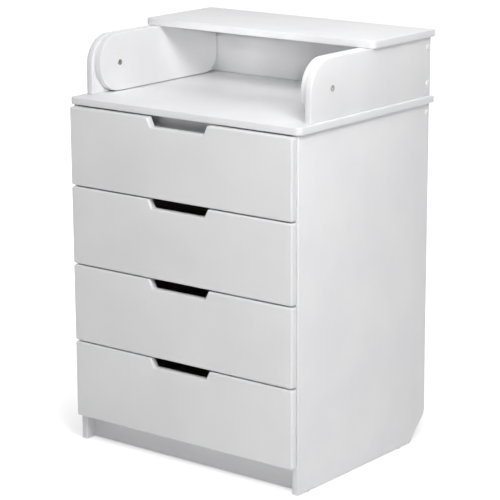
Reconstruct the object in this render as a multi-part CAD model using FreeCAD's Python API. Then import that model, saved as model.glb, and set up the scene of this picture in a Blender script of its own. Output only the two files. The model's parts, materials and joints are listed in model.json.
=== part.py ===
import FreeCAD, Part

import math
import os

# White changing dresser in laminated board: a cabinet with four full-overlay drawers on
# roller runners, and a changing top that turns over forwards about two pivot bolts.
# Millimetres. X runs to the right, Y to the back, Z up. Y is counted from the front edges
# of the side panels while the pieces are made; save() then centres the part on its box.

Vector = FreeCAD.Vector

# ---------------------------------------------------------------- driving dimensions
# boards
board = 16.0                      # laminated board of the cabinet and the changing top
hardboard = 3.0                   # cabinet back and drawer bottoms

# cabinet
cabinet_width = 620.0             # over the side panels
cabinet_depth = 480.0             # side panels, front edge to back edge
side_height = 778.0
plinth_height = 60.0
plinth_setback = 26.0
skirting_notch = 55.0             # slanted cut at the foot of the back, each way
rear_rail_height = 80.0
front_rail_setback = 20.0         # behind the front edges of the side panels
front_rail_space = 2.5            # over the top drawer's box
back_inset = 1.0                  # hardboard back, inside the outline of the side panels
glide_height = 3.0
glide_diameter = 15.0
glide_setback = 40.0              # from the ends of the side panel's foot

# worktop and lid
overhang_side = 8.0
overhang_front = 7.0
overhang_rear = 10.0
corner_radius = 13.0              # front corners seen from above

# drawer fronts
front_thickness = 16.0
front_standoff = 2.5              # front's back face, ahead of the side panels
front_gap = 3.0
front_side_margin = 3.0           # front's end, inside the outer face of the side panel
front_edge_radius = 4.0
grip_top_width = 166.0
grip_bottom_width = 146.0
grip_depth = 20.0
grip_bevel = 3.0
drawer_count = 4

# drawer boxes
box_height = 120.0
box_rise = 28.0                   # underside of the box above the underside of its front
groove_height = 10.0              # groove for the bottom, above the underside of the box
groove_depth = 6.0
groove_clearance = 0.1

# roller runners
runner_setback = 2.0              # cabinet profile, behind the front edge of the side
runner_rear_space = 28.0          # from its end to the back edge of the side
runner_space = 12.5               # between the side panel and the drawer box
sheet = 1.2
drawer_profile_rise = 22.0
drawer_flange = 10.0
flange_lip = 4.0
lip_clearance = 1.2               # sideways, lip to cabinet profile
profile_clearance = 1.2           # upwards, lip to cabinet profile, and web to flange
cabinet_profile_height = 22.5
front_roller_radius = 12.0
roller_running_gap = 0.3
roller_width = 6.0
roller_sides = 16
roller_pin_radius = 2.5
pin_head_radius = 4.0
pin_head_thickness = 0.6
pin_sides = 8
pin_head_sides = 6
pin_running_clearance = 0.05
tail_pin_setback = 12.0           # tail pin, ahead of the end of the drawer profile

# changing top
pivot_setback = 116.8             # pivot bolts, behind the front edges of the side panels
pivot_rise = 65.4                 # above the worktop
turnover_gap = 0.3                # turned-over cheeks above the worktop, lid above cheeks
cheek_floor_gap = 1.5             # standing cheeks above the worktop
cheek_back_gap = 3.2              # inner cheek's rear edge, ahead of the back panel
inner_cheek_heel_radius = 44.0
outer_cheek_front = 43.0          # behind the front edges of the side panels
outer_cheek_radius = 67.0
outer_cheek_rear_inset = 5.0      # from the rear edge of the worktop
shelf_back_inset = 4.0            # back panel of the top, from the rear edges of the cheeks
turned_lid_space = 12.9           # turned-over lid, ahead of the worktop's front edge
cheek_space = 1.5                 # between outer and inner cheek

# pivot hardware
sleeve_radius = 4.0
sleeve_running_clearance = 0.05
pivot_head_radius = 6.5
pivot_head_thickness = 1.6
pivot_head_gap = 0.15
pivot_screw_radius = 2.5
pivot_screw_length = 22.0
sleeve_end_gap = 4.0              # sleeve's end, short of the inner cheek's inner face
hex_socket = 5.0                  # across flats
hex_socket_depth = 4.0
slot_width = 1.4
slot_depth = 0.9
pivot_head_bevel = 0.7
pivot_sides = 20
washer_radius = 10.0
washer_play = 0.1
washer_sides = 14

# joining hardware
cam_radius = 7.5
cam_thickness = 12.5
cam_distance = 34.0               # cam's centre from the joint
cam_bolt_radius = 3.0
cam_thread_depth = 11.0
fitting_sides = 6                 # hidden cams, bolts and screws are drawn six-sided
confirmat_length = 50.0
confirmat_head_radius = 5.0
confirmat_head_depth = 3.0
confirmat_thread_radius = 3.5
cap_radius = 6.25
cap_thickness = 1.6
cap_bevel = 0.8
cap_sides = 16
glide_nail_radius = 1.2
glide_nail_length = 14.0
glide_sides = 12

# places of the joining hardware along the depth
side_cam_inset = 50.0             # from both edges of the side panel
cheek_cam_behind_pivot = 63.2
cheek_cam_rear_inset = 85.0       # from the rear edge of the outer cheek
floor_cam_front_inset = 90.0      # from the edges of the side panel
floor_cam_rear_inset = 100.0
rear_rail_screw_drop = 21.0       # below the worktop
plinth_cam_height = 36.0
shelf_screw_low = 28.0            # above the worktop
shelf_screw_high = 108.0
lid_cam_front_inset = 36.5        # from the lid's front edge
lid_cam_rear_inset = 31.8         # from the rear edge of the inner cheek
box_cam_rise = 84.0               # above the underside of the drawer box
box_screw_rises = (42.0, 92.0)

# ---------------------------------------------------------------- what follows from them
foot_z = glide_height
side_outer = cabinet_width / 2
side_inner = side_outer - board
board_middle = side_outer - board / 2
floor_z = foot_z + plinth_height
side_top = foot_z + side_height
worktop_top = side_top + board
worktop_rear = cabinet_depth + overhang_rear
worktop_half = side_outer + overhang_side

pitch = (side_height - plinth_height) / drawer_count
front_height = pitch - front_gap
front_rail_low = side_top - pitch + box_rise + box_height + front_rail_space
front_back_y = -front_standoff
front_face_y = -front_standoff - front_thickness

runner_length = cabinet_depth - runner_setback - runner_rear_space
box_half = side_inner - runner_space
box_end_y = front_back_y + runner_length
box_back_y = box_end_y - board

pivot_y = pivot_setback
pivot_z = worktop_top + pivot_rise
lid_underside = pivot_z + pivot_rise - turnover_gap
inner_cheek_bottom = worktop_top + cheek_floor_gap
outer_cheek_top = lid_underside - turnover_gap
outer_cheek_rear = worktop_rear - outer_cheek_rear_inset
shelf_back_rear = outer_cheek_rear - shelf_back_inset
shelf_back_front = shelf_back_rear - board
inner_cheek_outer = side_inner - cheek_space
inner_cheek_inner = inner_cheek_outer - board
inner_cheek_rear = shelf_back_front - cheek_back_gap
lid_front = 2 * pivot_y + overhang_front + turned_lid_space

centre_y = (front_face_y + worktop_rear) / 2

AXIS_X = Vector(1, 0, 0)
AXIS_Y = Vector(0, 1, 0)
AXIS_Z = Vector(0, 0, 1)


# ---------------------------------------------------------------- general helpers
def block(x_range, y_range, z_range):
    """A plain board between three pairs of limits."""
    low = Vector(x_range[0], y_range[0], z_range[0])
    return Part.makeBox(x_range[1] - x_range[0], y_range[1] - y_range[0],
                        z_range[1] - z_range[0], low)


def ring(radius, centre, along, sides):
    """Closed outline with equal sides, square to a direction."""
    first = along.cross(AXIS_Z if abs(along.z) < 0.5 else AXIS_Y).normalize()
    second = along.cross(first)
    turns = [2 * math.pi * step / sides for step in range(sides)]
    corners = [centre + first * (radius * math.cos(turn)) + second * (radius * math.sin(turn))
               for turn in turns]
    return Part.makePolygon(corners + [corners[0]])


def prism(radius, start, along, length, sides):
    """A bar from a point, along a direction, with equal flat sides."""
    return Part.Face(ring(radius, start, along, sides)).extrude(along * length)


def mirrored(shape):
    """The left-hand copy of a right-hand piece."""
    return shape.mirror(Vector(0, 0, 0), AXIS_X)


def both_sides(shapes):
    """Right-hand pieces followed by their left-hand copies."""
    return list(shapes) + [mirrored(shape) for shape in shapes]


def save(node, shapes):
    """Write the solids of one node, centred on the box of the whole dresser."""
    solids = []
    for shape in shapes:
        solids += shape.Solids
    group = Part.makeCompound(solids) if len(solids) > 1 else solids[0]
    group.translate(Vector(0, -centre_y, 0))
    group.exportStep("parts/" + node + ".step")


def far_edges(bar, start, along, length):
    """The edges round the far end of a bar."""
    return [edge for edge in bar.Edges
            if (edge.BoundBox.Center - start).dot(along) > length - 0.01]


def rounded_profile(corners, to_point):
    """Face of a closed outline; each corner is (a, b, radius) and may be rounded."""
    count = len(corners)
    starts = []
    ends = []
    middles = []
    for index in range(count):
        a, b, radius = corners[index]
        here = Vector(a, b, 0)
        before = Vector(corners[index - 1][0], corners[index - 1][1], 0)
        after = Vector(corners[(index + 1) % count][0], corners[(index + 1) % count][1], 0)
        to_before = (before - here).normalize()
        to_after = (after - here).normalize()
        half = to_before.getAngle(to_after) / 2
        reach = radius / math.tan(half)
        bisector = (to_before + to_after).normalize()
        starts.append(here + to_before * reach)
        ends.append(here + to_after * reach)
        middles.append(here + bisector * (radius / math.sin(half) - radius))
    edges = []
    for index in range(count):
        following = (index + 1) % count
        if corners[index][2] > 0:
            arc = Part.Arc(to_point(starts[index]), to_point(middles[index]),
                           to_point(ends[index]))
            edges.append(arc.toShape())
        if (starts[following] - ends[index]).Length > 0.001:
            line = Part.LineSegment(to_point(ends[index]), to_point(starts[following]))
            edges.append(line.toShape())
    return Part.Face(Part.Wire(edges))


def horizontal_board(half_width, y_range, z_low):
    """Worktop or lid: its front corners are rounded as seen from above."""
    corners = [(-half_width, y_range[0], corner_radius), (half_width, y_range[0], corner_radius),
               (half_width, y_range[1], 0), (-half_width, y_range[1], 0)]
    outline = rounded_profile(corners, lambda p: Vector(p.x, p.y, z_low))
    return outline.extrude(AXIS_Z * board)


def upright_board(corners, x_low):
    """Side panel or cheek from its outline in Y and Z."""
    outline = rounded_profile(corners, lambda p: Vector(x_low, p.x, p.y))
    return outline.extrude(AXIS_X * board)


# ---------------------------------------------------------------- joining hardware
def screw_cap(surface, outwards):
    """Plastic cap over a screw head, with a bevelled rim."""
    disc = prism(cap_radius, surface, outwards, cap_thickness, cap_sides)
    return disc.makeChamfer(cap_bevel, far_edges(disc, surface, outwards, cap_thickness))


class Joinery:
    """The fittings and the bores of one set of boards, gathered while it is built."""

    def __init__(self):
        self.connectors = []
        self.screws = []
        self.caps = []
        self.bores = []

    def cam(self, joint, into, open_to):
        """Cam fitting: a bolt screwed in at the joint, drawn in by a cam.

        The bolt stands on the joint and runs along into; the cam lies in a bore that is
        open towards open_to.
        """
        centre = joint + into * cam_distance
        mouth = centre + open_to * (board / 2)
        bolt = prism(cam_bolt_radius, joint - into * cam_thread_depth, into,
                     cam_thread_depth + cam_distance, fitting_sides)
        disc = prism(cam_radius, mouth, -open_to, cam_thickness, fitting_sides)
        self.connectors += [bolt, disc.cut(bolt)]
        self.bores += [bolt, disc]

    def confirmat(self, surface, into, capped):
        """Board screw from an outer face, flush, with a cap over it where it shows."""
        head = prism(confirmat_head_radius, surface, into, confirmat_head_depth,
                     fitting_sides)
        thread = prism(confirmat_thread_radius, surface, into, confirmat_length,
                       fitting_sides)
        screw = head.fuse(thread).removeSplitter()
        self.screws.append(screw)
        self.bores.append(screw)
        if capped:
            self.caps.append(screw_cap(surface, -into))

    def mirror_all(self):
        """Add the left-hand copies of everything gathered so far."""
        self.connectors = both_sides(self.connectors)
        self.screws = both_sides(self.screws)
        self.caps = both_sides(self.caps)
        self.bores = both_sides(self.bores)

    def bored(self, shape):
        """The board with the bores that reach it."""
        reaching = [bore for bore in self.bores if bore.BoundBox.intersect(shape.BoundBox)]
        return shape.cut(reaching) if reaching else shape


# ---------------------------------------------------------------- cabinet
def side_panel():
    """Right side panel, down to the floor in front, cut back for the skirting."""
    corners = [(0, foot_z, 0), (cabinet_depth - skirting_notch, foot_z, 0),
               (cabinet_depth, foot_z + skirting_notch, 0), (cabinet_depth, side_top, 0),
               (0, side_top, 0)]
    return upright_board(corners, side_inner)


def cabinet_boards():
    """The boards between and on the side panels."""
    span = (-side_inner, side_inner)
    boards = {}
    boards["worktop"] = horizontal_board(worktop_half, (-overhang_front, worktop_rear),
                                         side_top)
    boards["bottom_panel"] = block(span, (0, cabinet_depth), (floor_z, floor_z + board))
    boards["plinth_board"] = block(span, (plinth_setback, plinth_setback + board),
                                   (foot_z, floor_z))
    boards["front_rail"] = block(span, (front_rail_setback, front_rail_setback + board),
                                 (front_rail_low, side_top))
    boards["rear_rail"] = block(span, (cabinet_depth - board, cabinet_depth),
                                (side_top - rear_rail_height, side_top))
    boards["side_panel_right"] = side_panel()
    boards["side_panel_left"] = mirrored(side_panel())
    return boards


def cabinet_joinery():
    """Cams and capped screws of the cabinet and of the fixed part of the top."""
    fittings = Joinery()
    for place in (side_cam_inset, cabinet_depth - side_cam_inset):
        fittings.cam(Vector(board_middle, place, side_top), -AXIS_Z, -AXIS_X)
    for place in (pivot_y + cheek_cam_behind_pivot, outer_cheek_rear - cheek_cam_rear_inset):
        fittings.cam(Vector(board_middle, place, worktop_top), AXIS_Z, -AXIS_X)
    for place in (floor_cam_front_inset, cabinet_depth - floor_cam_rear_inset):
        fittings.cam(Vector(side_inner, place, floor_z + board / 2), -AXIS_X, -AXIS_Z)
    front_rail_middle = (front_rail_low + side_top) / 2
    fittings.cam(Vector(side_inner, front_rail_setback + board / 2, front_rail_middle),
                 -AXIS_X, AXIS_Y)
    plinth_y = plinth_setback + board / 2
    fittings.cam(Vector(side_inner, plinth_y, foot_z + plinth_cam_height), -AXIS_X, AXIS_Y)
    rail_y = cabinet_depth - board / 2
    fittings.confirmat(Vector(side_outer, rail_y, side_top - rear_rail_screw_drop),
                       -AXIS_X, True)
    shelf_y = shelf_back_front + board / 2
    for rise in (shelf_screw_low, shelf_screw_high):
        fittings.confirmat(Vector(side_outer, shelf_y, worktop_top + rise), -AXIS_X, True)
    fittings.mirror_all()
    return fittings


def hardboard_back():
    """Thin back on the rear edges of the cabinet."""
    half = side_outer - back_inset
    return block((-half, half), (cabinet_depth, cabinet_depth + hardboard),
                 (floor_z + back_inset, side_top - back_inset))


def glide(y):
    """Nail-on glide under the right side panel."""
    place = Vector(board_middle, y, 0)
    foot = prism(glide_diameter / 2, place, AXIS_Z, glide_height, glide_sides)
    spike = prism(glide_nail_radius, place, AXIS_Z, glide_height + glide_nail_length,
                  fitting_sides)
    return foot.fuse(spike).removeSplitter()


def glides():
    """Two glides under each side panel."""
    rear = cabinet_depth - skirting_notch - glide_setback
    return both_sides([glide(glide_setback), glide(rear)])


# ---------------------------------------------------------------- roller runners
def runner_point(u, y, z):
    """A point of the right-hand runner: u is counted inwards from the side panel."""
    return Vector(side_inner - u, y, z)


def profile_bar(points, y_range, box_z):
    """A bent sheet profile drawn in u and z, drawn out along the depth."""
    corners = [runner_point(u, y_range[0], box_z + z) for u, z in points]
    face = Part.Face(Part.makePolygon(corners + [corners[0]]))
    return face.extrude(AXIS_Y * (y_range[1] - y_range[0]))


def box_z(drawer):
    """Underside of a drawer's box; drawers are counted from the top."""
    return front_z(drawer) + box_rise


def front_z(drawer):
    """Underside of a drawer's front."""
    return floor_z + (drawer_count - drawer) * pitch


drawer_web = runner_space - sheet
lip_low = drawer_profile_rise - flange_lip
cabinet_profile_top = lip_low - profile_clearance
cabinet_profile_low = cabinet_profile_top - cabinet_profile_height
cabinet_flange = drawer_web - profile_clearance
front_roller_z = drawer_profile_rise - sheet - roller_running_gap - front_roller_radius
front_roller_y = runner_setback + front_roller_radius
tail_track = cabinet_profile_low + sheet
tail_roller_radius = (cabinet_profile_height - 2 * sheet) / 2 - roller_running_gap
tail_roller_z = tail_track + roller_running_gap + tail_roller_radius
tail_roller_y = box_end_y - tail_pin_setback
profile_lip = sheet + lip_clearance
front_roller_u = profile_lip + sheet + roller_running_gap
tail_roller_u = (sheet + drawer_web) / 2 - roller_width / 2


def corner_waste(centre_y, centre_z, radius, back, up):
    """What comes off a profile's corner to leave it round about a roller's pin.

    The corner lies backwards or forwards of the pin as back is 1 or -1, and above or
    below it as up is 1 or -1.
    """
    inner_end = side_inner - runner_space - drawer_flange
    square = block((inner_end, side_inner), sorted((centre_y, centre_y + back * radius)),
                   sorted((centre_z, centre_z + up * radius)))
    disc = Part.makeCylinder(radius, side_inner - inner_end,
                             Vector(inner_end, centre_y, centre_z), AXIS_X)
    return square.cut(disc)


def cabinet_runner(drawer):
    """Channel on the side panel, with the pin of its front roller riveted in."""
    z = box_z(drawer)
    flange_start = front_roller_y + front_roller_radius + 1
    end = runner_setback + runner_length
    low = cabinet_profile_low
    top = cabinet_profile_top
    channel = [(0, low), (cabinet_flange, low), (cabinet_flange, low + sheet),
               (sheet, low + sheet), (sheet, top - sheet), (cabinet_flange, top - sheet),
               (cabinet_flange, top), (0, top)]
    web = [(0, low), (sheet, low), (sheet, top), (0, top)]
    pin_length = front_roller_u + roller_width + roller_running_gap - sheet
    pin_root = runner_point(sheet, front_roller_y, z + front_roller_z)
    pin = prism(roller_pin_radius, pin_root, -AXIS_X, pin_length, pin_sides)
    head = prism(pin_head_radius, pin_root - AXIS_X * pin_length, -AXIS_X,
                 pin_head_thickness, pin_head_sides)
    bar = profile_bar(channel, (flange_start, end), z)
    waste = corner_waste(front_roller_y, z + front_roller_z, front_roller_radius, -1, 1)
    plate = profile_bar(web, (runner_setback, flange_start), z).cut(waste)
    return bar.fuse([plate, pin, head]).removeSplitter()


def drawer_runner(drawer):
    """Profile under and beside the drawer box, with its tail roller's pin riveted in."""
    z = box_z(drawer)
    lip = profile_lip
    points = [(runner_space, 0), (runner_space + drawer_flange, 0),
              (runner_space + drawer_flange, -sheet), (drawer_web, -sheet),
              (drawer_web, drawer_profile_rise - sheet),
              (lip + sheet, drawer_profile_rise - sheet), (lip + sheet, lip_low),
              (lip, lip_low), (lip, drawer_profile_rise), (runner_space, drawer_profile_rise)]
    pin_tip = tail_roller_u - roller_running_gap
    pin_root = runner_point(drawer_web, tail_roller_y, z + tail_roller_z)
    pin = prism(roller_pin_radius, pin_root, AXIS_X, drawer_web - pin_tip, pin_sides)
    head = prism(pin_head_radius, pin_root + AXIS_X * (drawer_web - pin_tip), AXIS_X,
                 pin_head_thickness, pin_head_sides)
    waste = corner_waste(tail_roller_y, z + tail_roller_z, tail_pin_setback, 1, -1)
    bar = profile_bar(points, (front_back_y, box_end_y), z).cut(waste)
    return bar.fuse([pin, head]).removeSplitter()


def roller(radius, u, y, z):
    """Nylon roller bored to turn on its pin; its flats are too short to feel."""
    start = runner_point(u + roller_width, y, z)
    tyre = prism(radius, start, AXIS_X, roller_width, roller_sides)
    clear = (roller_pin_radius + pin_running_clearance) / math.cos(math.pi / pin_sides)
    return tyre.cut(prism(clear, start, AXIS_X, roller_width, pin_sides))


def front_rollers(drawer):
    """Pair of rollers at the front of the cabinet profiles."""
    return both_sides([roller(front_roller_radius, front_roller_u, front_roller_y,
                              box_z(drawer) + front_roller_z)])


def tail_rollers(drawer):
    """Pair of rollers at the back of the drawer profiles."""
    return both_sides([roller(tail_roller_radius, tail_roller_u, tail_roller_y,
                              box_z(drawer) + tail_roller_z)])


# ---------------------------------------------------------------- drawers
def grip_outline(drawer, flare, y):
    """Trapezoid outline of the finger grip, widened by a flare, in the plane at y."""
    top = front_z(drawer) + front_height + front_gap
    ledge = front_z(drawer) + front_height - grip_depth
    slant = (grip_top_width - grip_bottom_width) / 2 / grip_depth
    low_half = grip_bottom_width / 2 + flare * (math.hypot(1, slant) - slant)
    top_half = low_half + slant * (top - ledge + flare)
    corners = [Vector(-low_half, y, ledge - flare), Vector(low_half, y, ledge - flare),
               Vector(top_half, y, top), Vector(-top_half, y, top)]
    return Part.makePolygon(corners + [corners[0]])


def grip_cutter(drawer):
    """Room for the fingers: straight through the front, flared where it meets the face."""
    bevel_y = front_face_y + grip_bevel
    passage = Part.Face(grip_outline(drawer, 0, bevel_y)).extrude(AXIS_Y * front_thickness)
    mouth = Part.makeLoft([grip_outline(drawer, grip_bevel, front_face_y),
                           grip_outline(drawer, 0, bevel_y)], True, True)
    return [passage, mouth]


def drawer_front(drawer):
    """Front board: rounded towards the face, with a finger grip in its top edge."""
    half = side_outer - front_side_margin
    low = front_z(drawer)
    slab = block((-half, half), (front_face_y, front_back_y), (low, low + front_height))
    face_edges = far_edges(slab, Vector(0, front_back_y, low), -AXIS_Y, front_thickness)
    slab = slab.makeFillet(front_edge_radius, face_edges)
    return slab.cut(grip_cutter(drawer) + [bottom_groove(drawer)])


def bottom_groove(drawer):
    """Room for the drawer bottom in the front and in the sides of the box."""
    reach = box_half - board + groove_depth
    low = box_z(drawer) + groove_height
    return block((-reach, reach), (front_back_y - groove_depth, box_end_y),
                 (low, low + hardboard + 2 * groove_clearance))


def drawer_bottom(drawer):
    """Hardboard bottom, pushed into its grooves from behind, under the back."""
    reach = box_half - board + groove_depth - groove_clearance
    low = box_z(drawer) + groove_height + groove_clearance
    return block((-reach, reach), (front_back_y - groove_depth + groove_clearance, box_end_y),
                 (low, low + hardboard))


def drawer_side(drawer):
    """Right side of the box, grooved for the bottom."""
    low = box_z(drawer)
    plank = block((box_half - board, box_half), (front_back_y, box_end_y),
                  (low, low + box_height))
    return plank.cut(bottom_groove(drawer))


def drawer_back(drawer):
    """Back of the box, standing on the bottom."""
    low = box_z(drawer)
    half = box_half - board
    stand = low + groove_height + groove_clearance + hardboard
    return block((-half, half), (box_back_y, box_end_y), (stand, low + box_height))


def drawer_joinery(drawer):
    """Cams at the front, board screws at the back."""
    low = box_z(drawer)
    middle = box_half - board / 2
    fittings = Joinery()
    fittings.cam(Vector(middle, front_back_y, low + box_cam_rise), AXIS_Y, AXIS_X)
    for rise in box_screw_rises:
        fittings.confirmat(Vector(box_half, box_end_y - board / 2, low + rise), -AXIS_X, False)
    fittings.mirror_all()
    return fittings


def build_drawer(drawer):
    """All the pieces of one drawer, and the rollers that it runs on."""
    name = "drawer_%d_" % drawer
    fittings = drawer_joinery(drawer)
    side = fittings.bored(drawer_side(drawer))
    save(name + "front", [fittings.bored(drawer_front(drawer))])
    save(name + "side_right", [side])
    save(name + "side_left", [mirrored(side)])
    save(name + "back", [fittings.bored(drawer_back(drawer))])
    save(name + "bottom", [drawer_bottom(drawer)])
    save(name + "fixings", fittings.connectors + fittings.screws)
    save(name + "runners", both_sides([drawer_runner(drawer)]))
    save(name + "tail_rollers", tail_rollers(drawer))
    save("cabinet_front_rollers_%d" % drawer, front_rollers(drawer))


# ---------------------------------------------------------------- changing top
def outer_cheek():
    """Right outer cheek, fixed on the worktop, its front shoulder rounded."""
    corners = [(outer_cheek_front, worktop_top, 0), (outer_cheek_rear, worktop_top, 0),
               (outer_cheek_rear, outer_cheek_top, 0),
               (outer_cheek_front, outer_cheek_top, outer_cheek_radius)]
    cheek = upright_board(corners, side_inner)
    bore = prism(sleeve_radius, Vector(side_inner, pivot_y, pivot_z), AXIS_X, board,
                 pivot_sides)
    return cheek.cut(bore)


def inner_cheek():
    """Right inner cheek: a round nose about the pivot and a rounded heel.

    The upper half of the nose is centred on the pivot, because it passes just over the
    worktop; the heel's radius lets the cheek swing up past the back panel of the top.
    """
    upper_nose = lid_underside - pivot_z
    lower_nose = pivot_z - inner_cheek_bottom
    front = pivot_y - upper_nose
    corners = [(front, inner_cheek_bottom, lower_nose),
               (inner_cheek_rear, inner_cheek_bottom, inner_cheek_heel_radius),
               (inner_cheek_rear, lid_underside, 0), (front, lid_underside, upper_nose)]
    cheek = upright_board(corners, inner_cheek_inner)
    clear = (sleeve_radius + sleeve_running_clearance) / math.cos(math.pi / pivot_sides)
    bore = prism(clear, Vector(inner_cheek_inner, pivot_y, pivot_z), AXIS_X, board,
                 pivot_sides)
    return cheek.cut(bore)


def shelf_back():
    """Back panel of the top, between the outer cheeks."""
    return block((-side_inner, side_inner), (shelf_back_front, shelf_back_rear),
                 (worktop_top, outer_cheek_top))


def lid():
    """Shelf over the cheeks; turned over, it lengthens the worktop forwards."""
    return horizontal_board(worktop_half, (lid_front, worktop_rear), lid_underside)


def lid_joinery():
    """Cams between the lid and each inner cheek."""
    middle = inner_cheek_inner + board / 2
    fittings = Joinery()
    for place in (lid_front + lid_cam_front_inset, inner_cheek_rear - lid_cam_rear_inset):
        fittings.cam(Vector(middle, place, lid_underside), -AXIS_Z, AXIS_X)
    fittings.mirror_all()
    return fittings


def pivot_head(face, outwards):
    """Flat round head with a bevelled rim."""
    disc = prism(pivot_head_radius, face, outwards, pivot_head_thickness, pivot_sides)
    return disc.makeChamfer(pivot_head_bevel, far_edges(disc, face, outwards,
                                                        pivot_head_thickness))


def pivot_sleeve():
    """Sleeve nut from outside, its head with a hexagon socket."""
    face = Vector(side_outer, pivot_y, pivot_z)
    end = inner_cheek_inner + sleeve_end_gap
    barrel = prism(sleeve_radius, face, -AXIS_X, side_outer - end, pivot_sides)
    mouth = face + AXIS_X * pivot_head_thickness
    socket = prism(hex_socket / math.sqrt(3), mouth, -AXIS_X, hex_socket_depth,
                   fitting_sides)
    thread_length = side_outer + pivot_head_thickness - hex_socket_depth - end
    thread = prism(pivot_screw_radius, Vector(end, pivot_y, pivot_z), AXIS_X,
                   thread_length, pin_sides)
    return barrel.fuse(pivot_head(face, AXIS_X)).removeSplitter().cut([socket, thread])


def pivot_screw():
    """Slotted screw from inside, driven into the sleeve."""
    face = Vector(inner_cheek_inner - pivot_head_gap, pivot_y, pivot_z)
    outer_x = face.x - pivot_head_thickness
    slot = block((outer_x, outer_x + slot_depth),
                 (pivot_y - pivot_head_radius, pivot_y + pivot_head_radius),
                 (pivot_z - slot_width / 2, pivot_z + slot_width / 2))
    shank = prism(pivot_screw_radius, face, AXIS_X, pivot_screw_length, pin_sides)
    return pivot_head(face, -AXIS_X).cut(slot).fuse(shank)


def pivot_washer():
    """Nylon washer that keeps the two cheeks apart."""
    start = Vector(side_inner, pivot_y, pivot_z)
    disc = prism(washer_radius, start, -AXIS_X, cheek_space - washer_play, washer_sides)
    return disc.cut(prism(sleeve_radius, start, -AXIS_X, cheek_space, pivot_sides))


# ---------------------------------------------------------------- the dresser
def build_cabinet():
    """Everything that stands still."""
    fittings = cabinet_joinery()
    feet = glides()
    fittings.bores += feet
    for name, shape in cabinet_boards().items():
        save(name, [fittings.bored(shape)])
    cheek = fittings.bored(outer_cheek())
    save("outer_cheek_right", [cheek])
    save("outer_cheek_left", [mirrored(cheek)])
    save("shelf_back_panel", [fittings.bored(shelf_back())])
    save("back_panel", [fittings.bored(hardboard_back())])
    save("glides", feet)
    save("cabinet_connectors", fittings.connectors)
    save("confirmat_screws", fittings.screws)
    save("screw_caps", fittings.caps)
    runners = [cabinet_runner(drawer) for drawer in range(1, drawer_count + 1)]
    save("cabinet_runners", both_sides(runners))
    save("pivot_sleeves", both_sides([pivot_sleeve()]))
    save("pivot_screws", both_sides([pivot_screw()]))
    save("pivot_washers", both_sides([pivot_washer()]))


def build_changing_top():
    """The lid and the inner cheeks, which turn over together."""
    fittings = lid_joinery()
    cheek = fittings.bored(inner_cheek())
    save("lid_board", [fittings.bored(lid())])
    save("inner_cheek_right", [cheek])
    save("inner_cheek_left", [mirrored(cheek)])
    save("lid_connectors", fittings.connectors)


os.makedirs("parts", exist_ok=True)
build_cabinet()
build_changing_top()
for drawer_number in range(1, drawer_count + 1):
    build_drawer(drawer_number)
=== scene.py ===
import json
import math

import bpy
from mathutils import Matrix, Vector


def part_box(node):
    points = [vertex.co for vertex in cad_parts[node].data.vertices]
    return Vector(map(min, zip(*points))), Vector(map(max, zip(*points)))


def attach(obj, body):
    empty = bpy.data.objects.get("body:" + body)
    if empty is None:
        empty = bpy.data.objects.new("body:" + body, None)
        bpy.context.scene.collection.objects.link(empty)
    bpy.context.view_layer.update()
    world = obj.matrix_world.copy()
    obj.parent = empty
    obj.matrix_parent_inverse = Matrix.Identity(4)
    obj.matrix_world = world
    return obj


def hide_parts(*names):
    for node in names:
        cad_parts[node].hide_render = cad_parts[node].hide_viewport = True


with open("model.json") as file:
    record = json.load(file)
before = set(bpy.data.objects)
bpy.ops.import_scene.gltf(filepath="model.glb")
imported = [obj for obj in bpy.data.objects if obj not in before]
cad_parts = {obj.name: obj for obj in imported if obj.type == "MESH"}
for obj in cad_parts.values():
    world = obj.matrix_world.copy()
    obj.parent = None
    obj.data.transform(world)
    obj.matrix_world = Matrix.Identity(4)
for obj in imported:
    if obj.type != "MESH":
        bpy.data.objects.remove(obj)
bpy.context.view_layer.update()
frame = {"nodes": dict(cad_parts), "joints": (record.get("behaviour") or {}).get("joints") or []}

# White changing dresser in laminated board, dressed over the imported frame. Metres.

MM = 0.001
AXIS_X = Vector((1, 0, 0))
AXIS_Y = Vector((0, 1, 0))
AXIS_Z = Vector((0, 0, 1))
SIDE_NAMES = ("right", "left")
MIRROR = (1, -1)
DRAWERS = (1, 2, 3, 4)
NEAR = 0.1 * MM                       # places closer than this count as the same
WELD = 0.02 * MM
PARALLEL = 0.99                       # cosine from which two directions count as the same
SHARP_ANGLE = math.radians(35)        # edges sharper than this are rounded
SMOOTH_ANGLE = math.radians(30)       # edges flatter than this are shaded smooth
PLASTIC_IOR = 1.5


# ---------------------------------------------------------------- colours and nodes
def srgb(code):
    """Linear colour of an sRGB hex code such as F0F0F0."""
    values = [int(code[i:i + 2], 16) / 255 for i in (0, 2, 4)]
    return tuple(v / 12.92 if v <= 0.04045 else ((v + 0.055) / 1.055) ** 2.4
                 for v in values) + (1.0,)


def add(tree, kind, links=None, inputs=None, **settings):
    """One shader node, with its settings, its plain values and the sources that feed it."""
    made = tree.nodes.new("ShaderNode" + kind)
    for name, value in settings.items():
        setattr(made, name, value)
    for name, value in (inputs or {}).items():
        made.inputs[name].default_value = value
    for name, source in (links or {}).items():
        tree.links.new(source, made.inputs[name])
    return made


def new_material(name):
    """A material with a Principled shader, and its object coordinates."""
    material = bpy.data.materials.new(name)
    material.use_nodes = True
    tree = material.node_tree
    tree.nodes.clear()
    surface = add(tree, "BsdfPrincipled")
    add(tree, "OutputMaterial", {"Surface": surface.outputs[0]})
    return material, tree, surface, add(tree, "TexCoord").outputs["Object"]


def feed(tree, surface, colour, roughness, normal):
    """Sources into the colour, roughness and normal of a Principled shader."""
    for name, source in (("Base Color", colour), ("Roughness", roughness), ("Normal", normal)):
        tree.links.new(source, surface.inputs[name])


def per_metre(size_mm):
    """Noise scale whose patches are about that many millimetres across."""
    return 1 / (size_mm * MM)


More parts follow.
